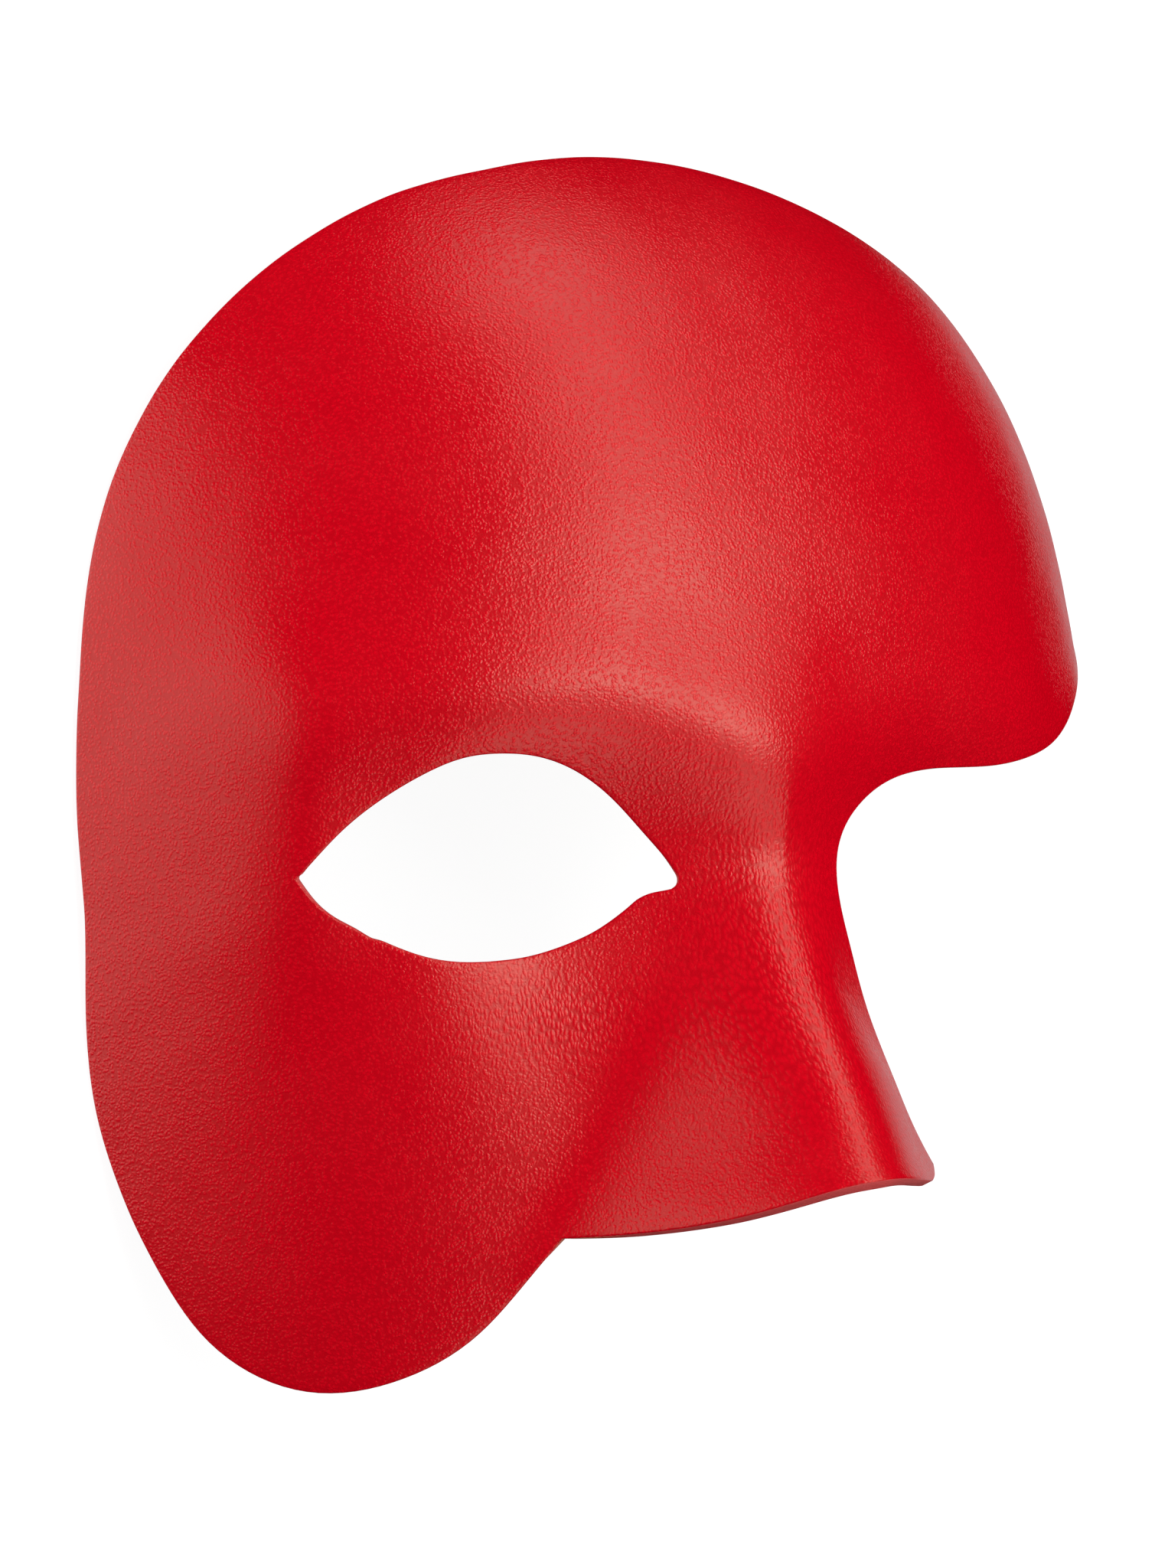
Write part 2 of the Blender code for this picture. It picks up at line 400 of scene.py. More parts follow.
@dataclass(frozen=True)
class CutPattern:
    """The cut lines of the mask from the front, as smooth runs between its corners."""

    nose_foot: Run = (
        (-30.9, -61.5),
        (-25.2, -60.9),
        (-17.9, -59.1),
        (-9.8, -55.7),
        (-3.5, -53.6),
        (3.1, -52.8),
        (10.6, -52.9),
        (20.0, -52.9),
    )
    nose_tip: Run = (
        (20.0, -52.9),
        (23.4, -52.0),
        (25.2, -50.7),
    )
    outer_rim: Run = (
        (25.2, -50.7),
        (19.2, -44.0),
        (14.5, -32.1),
        (12.5, -18.8),
        (11.7, -5.1),
        (15.4, 1.7),
        (22.4, 6.0),
        (31.4, 8.0),
        (41.7, 8.7),
        (50.1, 10.2),
        (57.4, 13.0),
        (62.6, 17.1),
        (67.6, 22.3),
        (73.8, 29.1),
        (74.8, 37.9),
        (73.0, 47.9),
        (68.9, 59.6),
        (60.6, 72.5),
        (50.0, 83.2),
        (36.1, 91.6),
        (20.8, 97.4),
        (6.8, 100.2),
        (-9.4, 100.3),
        (-26.2, 97.3),
        (-40.9, 92.9),
        (-53.7, 86.0),
        (-64.5, 77.1),
        (-73.0, 66.6),
        (-79.4, 54.5),
        (-83.6, 41.1),
        (-85.6, 27.3),
        (-86.2, 13.4),
        (-86.0, -0.6),
        (-85.1, -14.5),
        (-84.2, -28.4),
        (-82.5, -42.3),
        (-79.2, -55.5),
        (-74.5, -67.8),
        (-68.0, -78.4),
        (-58.7, -83.8),
        (-48.6, -82.0),
        (-39.6, -75.4),
        (-33.7, -66.4),
        (-30.9, -61.5),
    )
    lower_lid_inner: Run = (
        (-41.5, -21.5),
        (-36.7, -20.9),
        (-32.2, -19.7),
        (-27.8, -17.9),
        (-24.6, -16.0),
        (-21.4, -13.4),
        (-20.2, -12.3),
        (-19.0, -11.6),
        (-17.8, -11.2),
        (-16.6, -10.95),
        (-15.8, -10.75),
    )
    inner_end: Run = (
        (-15.8, -10.75),
        (-15.3, -10.35),
        (-14.95, -9.7),
        (-14.95, -8.9),
    )
    upper_lid: Run = (
        (-14.95, -8.9),
        (-16.4, -6.6),
        (-20.0, -2.5),
        (-24.9, 2.1),
        (-31.1, 5.9),
        (-37.9, 7.9),
        (-44.7, 8.0),
        (-50.5, 6.4),
        (-59.8, -0.2),
        (-64.9, -5.7),
        (-67.5, -9.3),
    )
    outer_end: Run = (
        (-67.5, -9.3),
        (-67.9, -9.7),
        (-67.85, -10.1),
    )
    lower_lid_outer: Run = (
        (-67.85, -10.1),
        (-66.6, -11.8),
        (-64.9, -13.7),
        (-62.4, -15.6),
        (-59.95, -16.95),
        (-58.3, -18.0),
        (-57.5, -18.4),
        (-56.7, -18.6),
        (-55.1, -19.25),
        (-51.0, -20.8),
        (-45.9, -21.6),
        (-41.5, -21.5),
    )
    crossings: tuple[Crossing, ...] = (
        Crossing((-30.9, -61.5), (-41.5, -21.5), 22),
        Crossing((20.0, -52.9), (-22.0, -13.9), 2),
        Crossing((25.2, -50.7), (-20.8, -12.85), 18),
        Crossing((20.2, 5.0), (-14.95, -9.1), 16),
        Crossing((73.8, 29.1), (-37.9, 7.9), 44),
        Crossing((-64.5, 77.1), (-57.0, 2.2), 18),
        Crossing((-86.0, -0.6), (-67.9, -9.7), 14),
        Crossing((-74.5, -67.8), (-54.5, -19.3), 10),
    )
    samples_per_point: int = 40

    def smooth_run(self, run: Run) -> FloatArray:
        """Draws a smooth line through a run.

        Args:
            run: The points of the run, with a corner only at its two ends.

        Returns:
            A fine line of points from the first of them to the last.
        """
        points = np.asarray(run, float)
        chords = np.sqrt(np.linalg.norm(np.diff(points, axis=0), axis=1))
        knots = np.concatenate([[0.0], np.cumsum(chords)])
        count = self.samples_per_point * len(points)
        return NaturalSpline(knots, points)(np.linspace(0.0, knots[-1], count))

    def cut_line(
        self, mould: Mould, runs: tuple[Run, ...], marks: list[Point], finer: int
    ) -> FloatArray:
        """Divides a closed line evenly over the mould between its marked places.

        Args:
            mould: The mould that the line lies on.
            runs: The smooth runs of the line.
            marks: The places that get a corner of the mesh, first the start of the first run.
            finer: How many times finer than the plain steps it is divided.

        Returns:
            The points (x, y) of the line, without its closing point.
        """
        fine = np.vstack([self.smooth_run(run)[:-1] for run in runs] + [runs[0][:1]])
        lengths = np.linalg.norm(np.diff(mould.lifted(fine), axis=0), axis=1)
        along = np.concatenate([[0.0], np.cumsum(lengths)])
        places = [along[np.argmin(np.linalg.norm(fine[:-1] - mark, axis=1))] for mark in marks]
        places.append(along[-1])
        even = np.concatenate([
            np.linspace(start, end, crossing.steps * finer, endpoint=False)
            for start, end, crossing in zip(places, places[1:], self.crossings)
        ])
        return np.column_stack([np.interp(even, along, fine[:, i]) for i in range(2)])

    def rim(self, mould: Mould, finer: int) -> FloatArray:
        """Divides the cut line round the outside of the mask.

        Args:
            mould: The mould that the line lies on.
            finer: How many times finer than the plain steps it is divided.

        Returns:
            The points (x, y) of the line, without its closing point.
        """
        runs = (self.nose_foot, self.nose_tip, self.outer_rim)
        return self.cut_line(mould, runs, [crossing.rim for crossing in self.crossings], finer)

    def eye(self, mould: Mould, finer: int) -> FloatArray:
        """Divides the cut line round the eye hole.

        Args:
            mould: The mould that the line lies on.
            finer: How many times finer than the plain steps it is divided.

        Returns:
            The points (x, y) of the line, without its closing point.
        """
        runs = (
            self.lower_lid_inner,
            self.inner_end,
            self.upper_lid,
            self.outer_end,
            self.lower_lid_outer,
        )
        return self.cut_line(mould, runs, [crossing.eye for crossing in self.crossings], finer)


@dataclass(frozen=True)
class LeatherGrid:
    """Fills the leather between the eye hole and the rim with rings and spokes.

    The rings start evenly spaced on straight spokes and settle by the usual method for smooth
    grids, which keeps them from folding over at the hollow stretches of the rim. The grid is
    then divided in two a few times, and settles again each time.
    """

    rings: int = 14
    doublings: int = 2
    first_rounds: int = 400
    later_rounds: int = 120
    settling: float = 0.8
    evenness: float = 0.75

    def points(self, mould: Mould, pattern: CutPattern) -> FloatArray:
        """Makes the grid.

        Args:
            mould: The mould under the leather.
            pattern: The cut lines that bound the grid.

        Returns:
            The places (x, y), one row for each ring from the eye hole to the rim.
        """
        share = np.linspace(0.0, 1.0, self.rings + 1)[:, None, None]
        eye, rim = (mould.unrolled(line) for line in (pattern.eye(mould, 1), pattern.rim(mould, 1)))
        grid = self.settled((1 - share) * eye + share * rim, self.first_rounds)
        for doubling in range(1, self.doublings + 1):
            grid = self.doubled(grid)
            grid[0] = mould.unrolled(pattern.eye(mould, 2**doubling))
            grid[-1] = mould.unrolled(pattern.rim(mould, 2**doubling))
            grid = self.settled(grid, self.later_rounds)
        even = np.stack([self.evened(spoke) for spoke in grid.swapaxes(0, 1)], axis=1)
        return mould.rolled_back(even)

    def settled(self, grid: FloatArray, rounds: int) -> FloatArray:
        """Lets the inner rings settle between the first and the last, which stay.

        Args:
            grid: The grid, rolled out flat.
            rounds: How many times every place moves.

        Returns:
            The same grid, settled.
        """
        for _ in range(rounds):
            after, before = np.roll(grid, -1, axis=1), np.roll(grid, 1, axis=1)
            along = (after - before)[1:-1] / 2
            across = (grid[2:] - grid[:-2]) / 2
            twist = (after[2:] - before[2:] - after[:-2] + before[:-2]) / 4
            a = np.sum(across * across, axis=-1, keepdims=True)
            b = np.sum(across * along, axis=-1, keepdims=True)
            c = np.sum(along * along, axis=-1, keepdims=True)
            moved = a * (after + before)[1:-1] + c * (grid[2:] + grid[:-2]) - 2 * b * twist
            grid[1:-1] += self.settling * (moved / (2 * (a + c)) - grid[1:-1])
        return grid

    def doubled(self, grid: FloatArray) -> FloatArray:
        """Adds a ring between each two rings and a spoke between each two spokes.

        Args:
            grid: The grid.

        Returns:
            The finer grid.
        """
        rings = np.empty((2 * len(grid) - 1, *grid.shape[1:]))
        rings[::2] = grid
        rings[1::2] = (grid[1:] + grid[:-1]) / 2
        between = (rings + np.roll(rings, -1, axis=1)) / 2
        return np.stack([rings, between], axis=2).reshape(len(rings), -1, 2)

    def evened(self, spoke: FloatArray) -> FloatArray:
        """Slides the places of a spoke along it, most of the way to an even spacing.

        Args:
            spoke: The places of the spoke, from the eye hole to the rim.

        Returns:
            Their new places.
        """
        steps = np.linalg.norm(np.diff(spoke, axis=0), axis=1)
        along = np.concatenate([[0.0], np.cumsum(steps)])
        even = np.linspace(0.0, along[-1], len(along))
        places = self.evenness * even + (1 - self.evenness) * along
        return np.column_stack([np.interp(places, along, spoke[:, i]) for i in range(2)])


@dataclass(frozen=True)
class RestPlace:
    """How the mask lies: its frame turned about X and Y, in degrees, and moved, in millimetres."""

    turn_x: float = -1.43
    turn_y: float = 5.95
    move: tuple[float, float, float] = (10.39, -7.42, 47.25)

    def matrix(self) -> Matrix:
        """The move of places in the mask's own frame, in metres, to where they lie."""
        turned = Euler((math.radians(self.turn_x), math.radians(self.turn_y), 0.0)).to_matrix()
        return Matrix.Translation(Vector(self.move) * MM) @ turned.to_4x4()

    def placed(self, place: Vector) -> Vector:
        """Where a place of the mask's own frame, in millimetres, lies, in metres."""
        return self.matrix() @ (place * MM)

    def direction(self, azimuth: float, elevation: float) -> Vector:
        """Turns a direction round the face into one round the mask as it lies.

        Args:
            azimuth: The angle to the viewer's right from straight ahead, in degrees.
            elevation: The angle up the face, in degrees.

        Returns:
            The direction away from the mask, of length 1.
        """
        across, up = math.radians(azimuth), math.radians(elevation)
        level = math.cos(up)
        out = Vector((math.sin(across) * level, math.sin(up), math.cos(across) * level))
        return self.matrix().to_3x3() @ out


class Side(IntEnum):
    """The faces of the leather, each the number of its material slot."""

    GRAIN = 0
    FLESH = 1
    CUT = 2


@dataclass(frozen=True)
class GrainSide:
    """The grain side of vegetable-tanned cowhide, wet moulded, spirit dyed and waxed to a satin.

    The dye is deep and clear, so the red is saturated. The grain's creases get a darker red,
    partly dye that gathered there and partly painted shade for the shade that falls in them. The
    wax gives a soft sheen, cloudy where the rag laid it on thicker, and its faint yellow warms the
    reflections. The round pebbles of the grain break the sheen's edges up into specks. Where the
    wet leather was pulled over the nose and under the eye, they are drawn out long. The pores are
    drawn as coarse as they need to be to show.
    """

    dye: str = "#D80019"
    # Painted shade: the darker red of the grain's creases stands for dye gathered there and for the
    # shade that falls in them
    crease_dye_and_shade: str = "#B20012"
    wax: str = "#FFE7D1"
    smooth: float = 0.27
    dull: float = 0.33
    cloud: float = 12.0
    drift: float = 1.1
    drift_reach: float = 0.5
    pebble: float = 0.5
    long_pebble: Point = (0.55, 1.15)
    pebble_reach: float = 0.72
    pore: float = 0.24
    pore_share: float = 0.3
    relief: float = 0.072

    def material(self) -> bpy.types.Material:
        """Makes the material.

        Returns:
            The material, with all its nodes.
        """
        made, tree, shader = new_material("dyed_grain_leather")
        place = add_node(tree, "ShaderNodeTexCoord").outputs["Object"]
        grain = self.grain(tree, place)
        bump = add_node(tree, "ShaderNodeBump", {"Height": grain, "Distance": self.relief * MM})
        tree.links.new(bump.outputs["Normal"], shader.inputs["Normal"])
        clouds = add_node(
            tree,
            "ShaderNodeTexNoise",
            {"Vector": place, "Scale": per_metre(self.cloud), "Detail": 2.0},
        )
        sheen = add_node(
            tree,
            "ShaderNodeMapRange",
            {
                "Value": clouds.outputs["Fac"],
                "From Min": NOISE_LOW,
                "From Max": NOISE_HIGH,
                "To Min": self.smooth,
                "To Max": self.dull,
            },
        )
        tree.links.new(sheen.outputs["Result"], shader.inputs["Roughness"])
        # Painted shade: where the grain height is 0, in the creases, the colour runs to the darker
        # red, for gathered dye and for shade
        colour = add_node(
            tree,
            "ShaderNodeMix",
            {0: grain, 6: linear(self.crease_dye_and_shade), 7: linear(self.dye)},
            data_type="RGBA",
        )
        tree.links.new(colour.outputs[2], shader.inputs["Base Color"])
        shader.inputs["Specular Tint"].default_value = linear(self.wax)
        return made

    def grain(self, tree: bpy.types.NodeTree, place: Socket) -> Socket:
        """Adds the relief of the grain.

        Args:
            tree: The material's nodes.
            place: The place on the mask, in metres.

        Returns:
            Its height, from 0 in the creases to 1 on the pebbles.
        """
        drift = add_node(
            tree,
            "ShaderNodeTexNoise",
            {"Vector": place, "Scale": per_metre(self.drift), "Detail": 1.0},
        ).outputs["Color"]
        reach = (self.drift_reach * MM,) * 3
        drifted = add_node(
            tree, "ShaderNodeVectorMath", {0: drift, 1: reach, 2: place}, operation="MULTIPLY_ADD"
        ).outputs["Vector"]
        short = self.pebbles(tree, drifted, per_metre(self.pebble), "3D")
        flat = add_node(tree, "ShaderNodeUVMap", uv_map=FLAT_MAP).outputs["UV"]
        drifted_flat = add_node(
            tree, "ShaderNodeVectorMath", {0: drift, 1: reach, 2: flat}, operation="MULTIPLY_ADD"
        ).outputs["Vector"]
        across, along = self.long_pebble
        drawn = add_node(
            tree,
            "ShaderNodeMapping",
            {"Vector": drifted_flat, "Scale": (per_metre(across), per_metre(along), 1.0)},
        ).outputs["Vector"]
        long = self.pebbles(tree, drawn, 1.0, "2D")
        stretch = add_node(tree, "ShaderNodeAttribute", attribute_name=STRETCH).outputs["Fac"]
        pebbled = add_node(tree, "ShaderNodeMix", {0: stretch, 2: short, 3: long}).outputs[0]
        pores = add_node(
            tree,
            "ShaderNodeTexNoise",
            {"Vector": drifted, "Scale": per_metre(self.pore), "Detail": 1.0},
        ).outputs["Fac"]
        pored = add_node(tree, "ShaderNodeMix", {0: self.pore_share, 2: pebbled, 3: pores})
        return pored.outputs[0]

    def pebbles(
        self, tree: bpy.types.NodeTree, place: Socket, scale: float, dimensions: str
    ) -> Socket:
        """Adds round pebbles that touch one another.

        Args:
            tree: The material's nodes.
            place: Where the pattern is read.
            scale: How many pebbles there are to a unit of place.
            dimensions: "2D" or "3D".

        Returns:
            The height, from 0 between the pebbles to 1 on top of them.
        """
        middles = add_node(tree, "ShaderNodeTexVoronoi", voronoi_dimensions=dimensions)
        tree.links.new(place, middles.inputs["Vector"])
        middles.inputs["Scale"].default_value = scale
        rounded = add_node(
            tree,
            "ShaderNodeMapRange",
            {
                "Value": middles.outputs["Distance"],
                "From Max": self.pebble_reach,
                "To Min": 1.0,
                "To Max": 0.0,
            },
            interpolation_type="SMOOTHSTEP",
        )
        return rounded.outputs["Result"]


@dataclass(frozen=True)
class CutSide:
    """The cut edge of the hide, dyed with the mask but neither waxed nor burnished.

    The loose fibres scatter the light, so it is a paler and duller red than the grain side. In a
    few places the dye didn't take, and the tan of the hide shows: from first_bare on of the sum of
    the place's rawness and the fibres' noise, and fully from all_bare on.
    """

    dye: str = "#CC4A4A"
    raw: str = "#D8A878"
    roughness: float = 0.62
    fibre: float = 0.35
    relief: float = 0.07
    first_bare: float = 0.95
    all_bare: float = 1.25

    def material(self) -> bpy.types.Material:
        """Makes the material.

        Returns:
            The material, with all its nodes.
        """
        made, tree, shader = new_material("dyed_cut_edge")
        place = add_node(tree, "ShaderNodeTexCoord").outputs["Object"]
        fibres = add_node(
            tree,
            "ShaderNodeTexNoise",
            {"Vector": place, "Scale": per_metre(self.fibre), "Detail": 3.0},
        ).outputs["Fac"]
        bump = add_node(tree, "ShaderNodeBump", {"Height": fibres, "Distance": self.relief * MM})
        tree.links.new(bump.outputs["Normal"], shader.inputs["Normal"])
        rawness = add_node(tree, "ShaderNodeAttribute", attribute_name=RAWNESS).outputs["Fac"]
        bare = add_node(tree, "ShaderNodeMath", {0: fibres, 1: rawness}, operation="ADD").outputs[0]
        shown = add_node(
            tree,
            "ShaderNodeMapRange",
            {"Value": bare, "From Min": self.first_bare, "From Max": self.all_bare},
        )
        colour = add_node(
            tree,
            "ShaderNodeMix",
            {0: shown.outputs["Result"], 6: linear(self.dye), 7: linear(self.raw)},
            data_type="RGBA",
        )
        tree.links.new(colour.outputs[2], shader.inputs["Base Color"])
        shader.inputs["Roughness"].default_value = self.roughness
        return made


@dataclass(frozen=True)
class FleshSide:
    """The flesh side of the hide, inside the mask, left undyed.

    Its short nap is dull and mottled tan. Red dye has run in a little way from the cut edges: it
    shows from first_dyed on of the sum of its bleed and the mottle's noise, and fully from
    all_dyed on.
    """

    tan: str = "#BE9063"
    dark_tan: str = "#A57548"
    dye: str = "#9A2424"
    roughness: float = 0.9
    mottle: float = 6.0
    nap: float = 0.5
    relief: float = 0.15
    fuzz: float = 0.25
    first_dyed: float = 0.9
    all_dyed: float = 1.3

    def material(self) -> bpy.types.Material:
        """Makes the material.

        Returns:
            The material, with all its nodes.
        """
        made, tree, shader = new_material("suede_flesh_side")
        place = add_node(tree, "ShaderNodeTexCoord").outputs["Object"]
        nap = add_node(
            tree,
            "ShaderNodeTexNoise",
            {"Vector": place, "Scale": per_metre(self.nap), "Detail": 4.0},
        ).outputs["Fac"]
        bump = add_node(tree, "ShaderNodeBump", {"Height": nap, "Distance": self.relief * MM})
        tree.links.new(bump.outputs["Normal"], shader.inputs["Normal"])
        mottle = add_node(
            tree,
            "ShaderNodeTexNoise",
            {"Vector": place, "Scale": per_metre(self.mottle), "Detail": 5.0},
        ).outputs["Fac"]
        hide = add_node(
            tree,
            "ShaderNodeMix",
            {0: mottle, 6: linear(self.tan), 7: linear(self.dark_tan)},
            data_type="RGBA",
        ).outputs[2]
        bleed = add_node(tree, "ShaderNodeAttribute", attribute_name=BLEED).outputs["Fac"]
        uneven = add_node(tree, "ShaderNodeMath", {0: bleed, 1: mottle}, operation="ADD").outputs[0]
        dyed = add_node(
            tree,
            "ShaderNodeMapRange",
            {"Value": uneven, "From Min": self.first_dyed, "From Max": self.all_dyed},
        )
        colour = add_node(
            tree,
            "ShaderNodeMix",
            {0: dyed.outputs["Result"], 6: hide, 7: linear(self.dye)},
            data_type="RGBA",
        )
        tree.links.new(colour.outputs[2], shader.inputs["Base Color"])
        shader.inputs["Roughness"].default_value = self.roughness
        shader.inputs["Sheen Weight"].default_value = self.fuzz
        return made


@dataclass(frozen=True)
class LitAcrylic:
    """White acrylic of a light table, lit from below, so that hardly a shadow shows on it."""

    colour: str = "#6E6E6E"
    glow: float = 0.93
    roughness: float = 0.6

    def material(self) -> bpy.types.Material:
        """Makes the material.

        Returns:
            The material, with all its nodes.
        """
        made, _, shader = new_material("lit_white_acrylic")
        shader.inputs["Base Color"].default_value = linear(self.colour)
        shader.inputs["Roughness"].default_value = self.roughness
        shader.inputs["Specular IOR Level"].default_value = 0.0
        shader.inputs["Emission Color"].default_value = linear(WHITE)
        shader.inputs["Emission Strength"].default_value = self.glow
        return made


@dataclass(frozen=True)
class HalfMask:
    """The mask: one sheet of leather, formed over the mould, cut, dyed and laid down.

    Its edges are worn round where they turn by more than worn_angle. Hand forming leaves it uneven,
    in swells of uneven_length. Each further one of the uneven_layers is uneven_fold times finer,
    and fainter by that to the power uneven_fade. Sizes are in millimetres and angles in degrees.
    """

    mould: Mould = Mould()
    pattern: CutPattern = CutPattern()
    grid: LeatherGrid = LeatherGrid()
    rest: RestPlace = RestPlace()
    thickness: float = 2.2
    weld: float = 0.001
    edge_round: float = 0.32
    round_segments: int = 3
    worn_angle: float = 60.0
    sharp_angle: float = 42.0
    unevenness: float = 0.14
    uneven_length: float = 15.0
    uneven_fold: float = 2.0
    uneven_fade: float = 1.0
    uneven_layers: int = 2
    bleed_reach: float = 4.0
    stretched: tuple[Swelling, ...] = (
        Swelling(1.0, (-3.0, -22.0), (15.0, 30.0)),
        Swelling(0.9, (-34.0, -30.0), (16.0, 9.0)),
    )
    raw_places: tuple[Swelling, ...] = (
        Swelling(0.5, (-30.0, -61.5), (9.0, 5.0)),
        Swelling(0.3, (-12.0, -57.0), (5.0, 5.0)),
    )
    grain_side: GrainSide = GrainSide()
    flesh_side: FleshSide = FleshSide()
    cut_side: CutSide = CutSide()

    def build(self) -> bpy.types.Object:
        """Makes the mask's mesh where the mask lies.

        Returns:
            The mask, without materials.
        """
        sheet = self.formed_sheet()
        self.work_by_hand(sheet)
        bmesh.ops.transform(sheet, matrix=self.rest.matrix(), verts=sheet.verts)
        mesh = bpy.data.meshes.new("moulded_leather")
        sheet.to_mesh(mesh)
        sheet.free()
        piece = bpy.data.objects.new("moulded_leather", mesh)
        bpy.context.scene.collection.objects.link(piece)
        leather = piece.modifiers.new("leather", "SOLIDIFY")
        leather.thickness = self.thickness * MM
        leather.offset = -1.0
        leather.use_even_offset = True
        leather.material_offset = Side.FLESH
        leather.material_offset_rim = Side.CUT
        worn = piece.modifiers.new("worn_edges", "BEVEL")
        worn.width = self.edge_round * MM
        worn.segments = self.round_segments
        worn.limit_method = "ANGLE"
        worn.angle_limit = math.radians(self.worn_angle)
        worn.use_clamp_overlap = False
        return piece

    def formed_sheet(self) -> bmesh.types.BMesh:
        """Makes the grain side of the leather as an open mesh on the mould.

        Returns:
            The mesh in the mask's own frame, in metres, with a UV map and the attributes that
            its finishes read.
        """
        grid = self.grid.points(self.mould, self.pattern)
        closed = np.concatenate([grid, grid[:, :1]], axis=1)
        flat = closed.reshape(-1, 2)
        x, y = flat[:, 0], flat[:, 1]
        values = {
            STRETCH: np.clip(sum(place.rise(x, y) for place in self.stretched), 0.0, 1.0),
            RAWNESS: sum(place.rise(x, y) for place in self.raw_places),
            BLEED: self.bleed(closed).ravel(),
        }
        sheet = bmesh.new()
        rings, spokes = closed.shape[0] - 1, closed.shape[1] - 1
        bmesh.ops.create_grid(sheet, x_segments=spokes, y_segments=rings)
        layers = {name: sheet.verts.layers.float.new(name) for name in values}
        for i, (vert, place) in enumerate(zip(sheet.verts, self.mould.lifted(flat))):
            vert.co = Vector(place) * MM
            for name, layer in layers.items():
                vert[layer] = values[name][i]
        bmesh.ops.remove_doubles(sheet, verts=sheet.verts, dist=self.weld * MM)
        bmesh.ops.recalc_face_normals(sheet, faces=sheet.faces)
        if sum(face.normal.z for face in sheet.faces) < 0:
            bmesh.ops.reverse_faces(sheet, faces=sheet.faces)
        self.roll_out(sheet)
        return sheet

    def bleed(self, grid: FloatArray) -> FloatArray:
        """Works out how strongly red dye has run in from the cut edges.

        Args:
            grid: The places (x, y), one row for each ring from the eye hole to the rim.

        Returns:
            For each place, from 1 at a cut edge to 0 where the dye ends.
        """
        lifted = self.mould.lifted(grid.reshape(-1, 2)).reshape(*grid.shape[:2], 3)
        steps = np.linalg.norm(np.diff(lifted, axis=0), axis=2)
        inwards = np.concatenate([np.zeros_like(steps[:1]), np.cumsum(steps, axis=0)])
        nearest = np.minimum(inwards, inwards[-1] - inwards)
        return np.clip(1 - nearest / self.bleed_reach, 0.0, 1.0)

    def roll_out(self, sheet: bmesh.types.BMesh) -> None:
        """Gives the sheet a UV map: its places on the leather rolled out flat, in metres.

        Args:
            sheet: The sheet in the mask's own frame.
        """
        places = np.array([vert.co[:2] for vert in sheet.verts]) / MM
        flat = self.mould.unrolled(places) * MM
        layer = sheet.loops.layers.uv.new(FLAT_MAP)
        sheet.verts.index_update()
        for face in sheet.faces:
            for loop in face.loops:
                loop[layer].uv = flat[loop.vert.index]

    def work_by_hand(self, sheet: bmesh.types.BMesh) -> None:
        """Moves the sheet in and out a little, as leather pressed on a mould by hand.

        Args:
            sheet: The sheet in the mask's own frame.
        """
        sheet.normal_update()
        scale = per_metre(self.uneven_length)
        layers = (self.uneven_fade, self.uneven_fold, self.uneven_layers)
        moves = [
            vert.normal * (noise.fractal(vert.co * scale, *layers) * self.unevenness * MM)
            for vert in sheet.verts
        ]
        for vert, move in zip(sheet.verts, moves):
            vert.co += move

    def dress(self, piece: bpy.types.Object) -> None:
        """Finishes the mesh, sets it flat on the table and gives each side its material.

        Args:
            piece: The mask as build made it.
        """
        for finish in (self.grain_side, self.flesh_side, self.cut_side):
            piece.data.materials.append(finish.material())
        evaluated = piece.evaluated_get(bpy.context.evaluated_depsgraph_get())
        mesh = bpy.data.meshes.new_from_object(evaluated)
        piece.modifiers.clear()
        piece.data = mesh
        for vert in mesh.vertices:
            vert.co.z = max(vert.co.z, 0.0)
        mesh.shade_smooth()
        mesh.set_sharp_from_angle(angle=math.radians(self.sharp_angle))


@dataclass(frozen=True)
class Softbox:
    """A flat light that faces the mask, placed as seen from the mask.

    Its azimuth runs to the viewer's right and its elevation up the face, in degrees. Its sizes are
    in millimetres, and its radiance is 1 for a sheet of white paper in full light. One that isn't
    mirrored is a scrim: it lights the leather, and is too soft to be seen in its sheen.
    """

    azimuth: float
    elevation: float
    width: float
    height: float
    radiance: float
    distance: float = 1100.0
    mirrored: bool = True

    def hang(self, rest: RestPlace) -> None:
        """Hangs the light, facing the middle of the mask, out of the camera's sight.

        Args:
            rest: Where the mask lies.
        """
        lamp = bpy.data.lights.new("softbox", "AREA")
        lamp.shape = "RECTANGLE"
        lamp.size = self.width * MM
        lamp.size_y = self.height * MM
        lamp.energy = self.radiance * math.pi * lamp.size * lamp.size_y
        lamp.cycles.use_multiple_importance_sampling = self.mirrored
        softbox = bpy.data.objects.new("softbox", lamp)
        back = rest.direction(self.azimuth, self.elevation)
        ahead = rest.direction(self.azimuth, self.elevation + 90.0)
        turn = Matrix((ahead.cross(back), ahead, back)).transposed().to_4x4()
        place = rest.placed(Vector()) + back * (self.distance * MM)
        softbox.matrix_world = Matrix.Translation(place) @ turn
        softbox.visible_camera = False
        softbox.visible_glossy = self.mirrored
        bpy.context.scene.collection.objects.link(softbox)


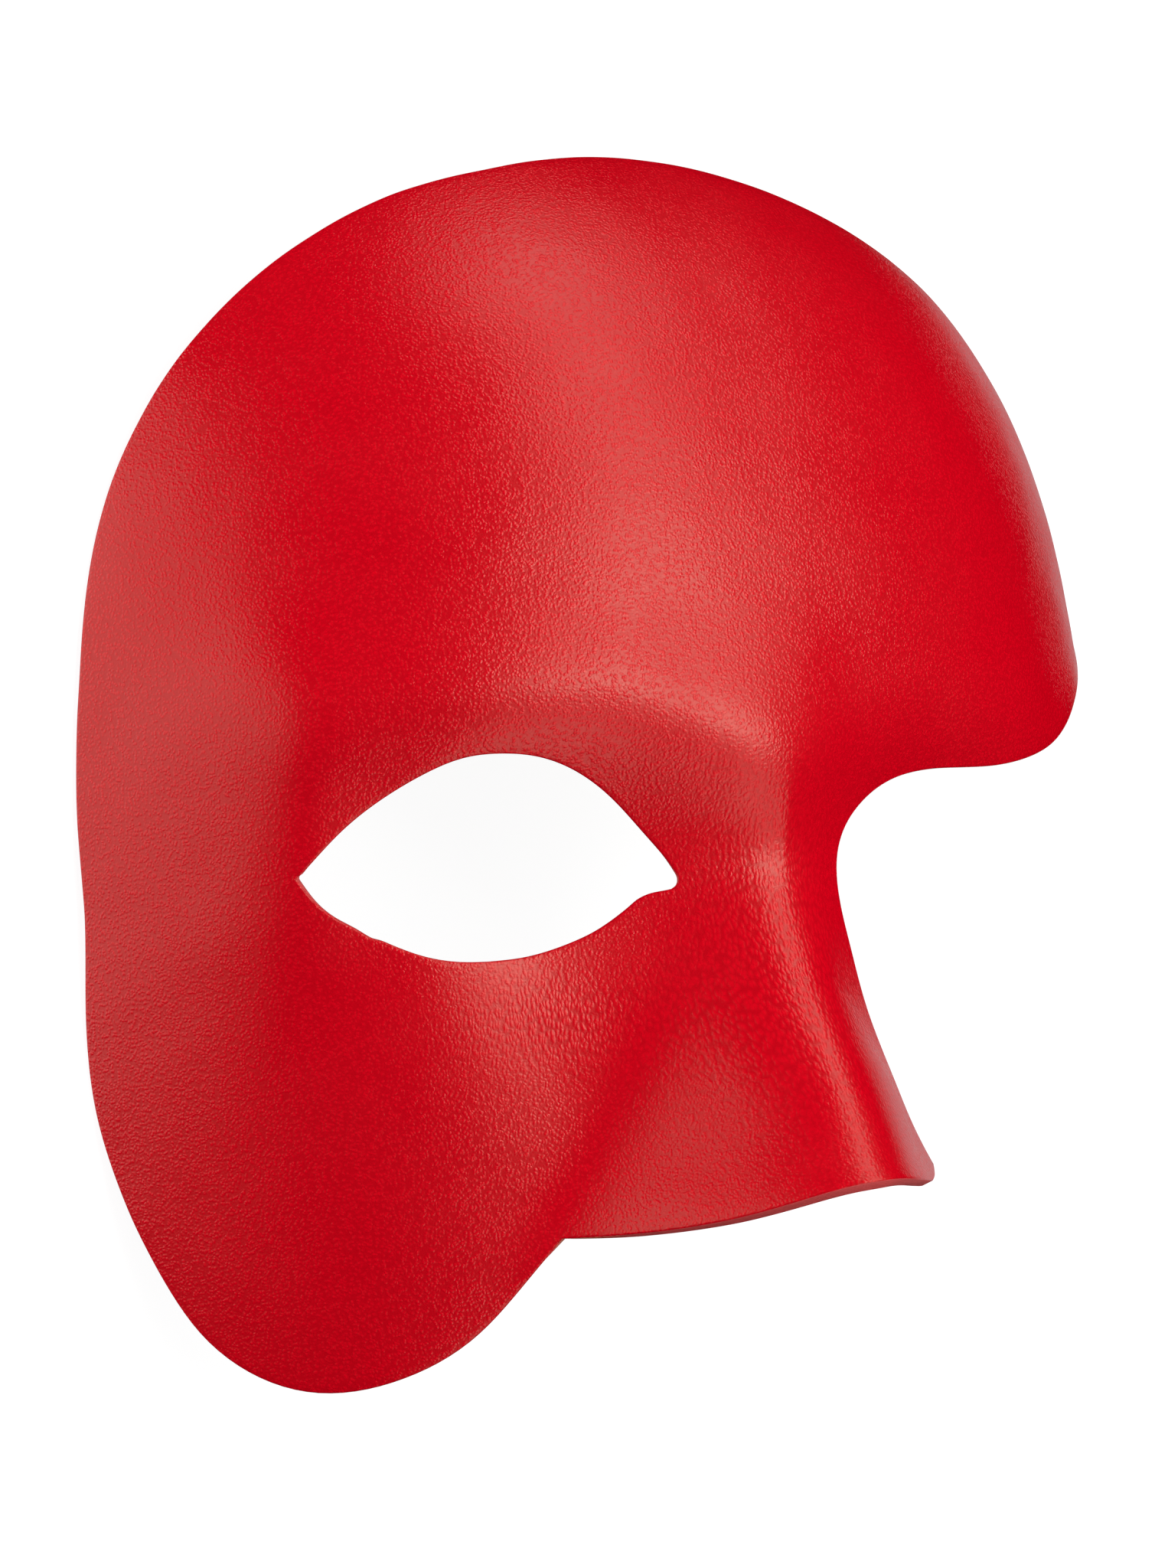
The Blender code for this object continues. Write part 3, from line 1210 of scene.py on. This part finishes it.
@dataclass(frozen=True)
class Studio:
    """The table, the lights and the camera.

    The key light is a tall strip, bent over the mask from its chin to behind its forehead and made
    up of panels, with a bright bulb in the panel before the brow. White cards at the sides give
    the broad sheen of the temple and of the two sides of the nose. Scrims all round make the
    shading even. The table and the white room are only a backdrop.
    """

    rest: RestPlace = RestPlace()
    table_side: float = 8000.0
    acrylic: LitAcrylic = LitAcrylic()
    # For each light its azimuth, elevation, width, height and radiance
    key_strip: tuple[Softbox, ...] = (
        Softbox(9.3, -45.0, 480.0, 560.0, 2.6),
        Softbox(12.0, -15.0, 480.0, 560.0, 1.8),
        Softbox(14.8, 15.0, 480.0, 560.0, 6.0),
        Softbox(18.9, 45.0, 480.0, 560.0, 2.95),
        Softbox(38.0, 74.0, 480.0, 560.0, 2.6),
    )
    bulb: Softbox = Softbox(0.0, 10.0, 220.0, 220.0, 5.0, distance=1060.0)
    cards: tuple[Softbox, ...] = (
        Softbox(-123.0, 12.0, 1500.0, 1000.0, 1.55),
        Softbox(-84.0, 0.0, 420.0, 900.0, 0.45),
        Softbox(130.0, 0.0, 300.0, 900.0, 0.75),
    )
    scrims: tuple[Softbox, ...] = (
        Softbox(-95.0, 0.0, 1200.0, 1200.0, 2.3, distance=1400.0, mirrored=False),
        Softbox(35.0, 0.0, 1200.0, 1200.0, 1.5, distance=1400.0, mirrored=False),
        Softbox(0.0, -65.0, 1200.0, 1200.0, 0.5, distance=1400.0, mirrored=False),
        Softbox(-60.0, 60.0, 1200.0, 1200.0, 1.5, distance=1400.0, mirrored=False),
    )
    camera_azimuth: float = -31.0
    camera_elevation: float = -3.0
    camera_distance: float = 1300.0
    camera_target: tuple[float, float, float] = (-22.0, 5.0, -20.0)
    view_height: float = 229.4
    sensor: float = 36.0

    def build(self) -> None:
        """Sets up the table, the room, the lights and the camera."""
        self.lay_table()
        self.paint_room()
        lights = (*self.key_strip, self.bulb, *self.cards, *self.scrims)
        for softbox in lights:
            softbox.hang(self.rest)
        self.set_camera()
        log.info("the studio has %d softboxes", len(lights))

    def lay_table(self) -> None:
        """Lays the white table under the mask. It doesn't light, shade or show in the leather."""
        mesh = bpy.data.meshes.new("light_table")
        top = bmesh.new()
        bmesh.ops.create_grid(top, x_segments=1, y_segments=1, size=self.table_side * MM / 2)
        top.to_mesh(mesh)
        top.free()
        table = bpy.data.objects.new("light_table", mesh)
        bpy.context.scene.collection.objects.link(table)
        mesh.materials.append(self.acrylic.material())
        table.visible_glossy = False
        table.visible_diffuse = False
        table.visible_shadow = False

    def paint_room(self) -> None:
        """Makes the room behind the table white. The softboxes alone light the mask."""
        room = bpy.data.worlds.new("white_room")
        bpy.context.scene.world = room
        room.use_nodes = True
        room.node_tree.nodes["Background"].inputs["Color"].default_value = linear(WHITE)
        room.cycles_visibility.glossy = False
        room.cycles_visibility.diffuse = False
        bpy.context.scene.view_settings.view_transform = "Standard"

    def set_camera(self) -> None:
        """Sets the camera to the left of the face, with the face upright in its view."""
        back = self.rest.direction(self.camera_azimuth, self.camera_elevation)
        right = self.rest.direction(0.0, 90.0).cross(back).normalized()
        turn = Matrix((right, back.cross(right), back)).transposed().to_4x4()
        place = self.rest.placed(Vector(self.camera_target)) + back * (self.camera_distance * MM)
        lens = bpy.data.cameras.new("camera")
        lens.sensor_width = self.sensor
        lens.lens = self.sensor * self.camera_distance / self.view_height
        camera = bpy.data.objects.new("camera", lens)
        camera.matrix_world = Matrix.Translation(place) @ turn
        bpy.context.scene.collection.objects.link(camera)
        bpy.context.scene.camera = camera


def main() -> None:
    """Builds the mask and its studio, in order."""
    logging.basicConfig(level=logging.INFO, format="%(name)s: %(message)s")
    mask = HalfMask()
    piece = mask.build()
    mask.dress(piece)
    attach(piece, "root")
    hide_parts("leather_mask")
    log.info("%s has %d faces", piece.name, len(piece.data.polygons))
    Studio().build()


if __name__ == "__main__":
    main()
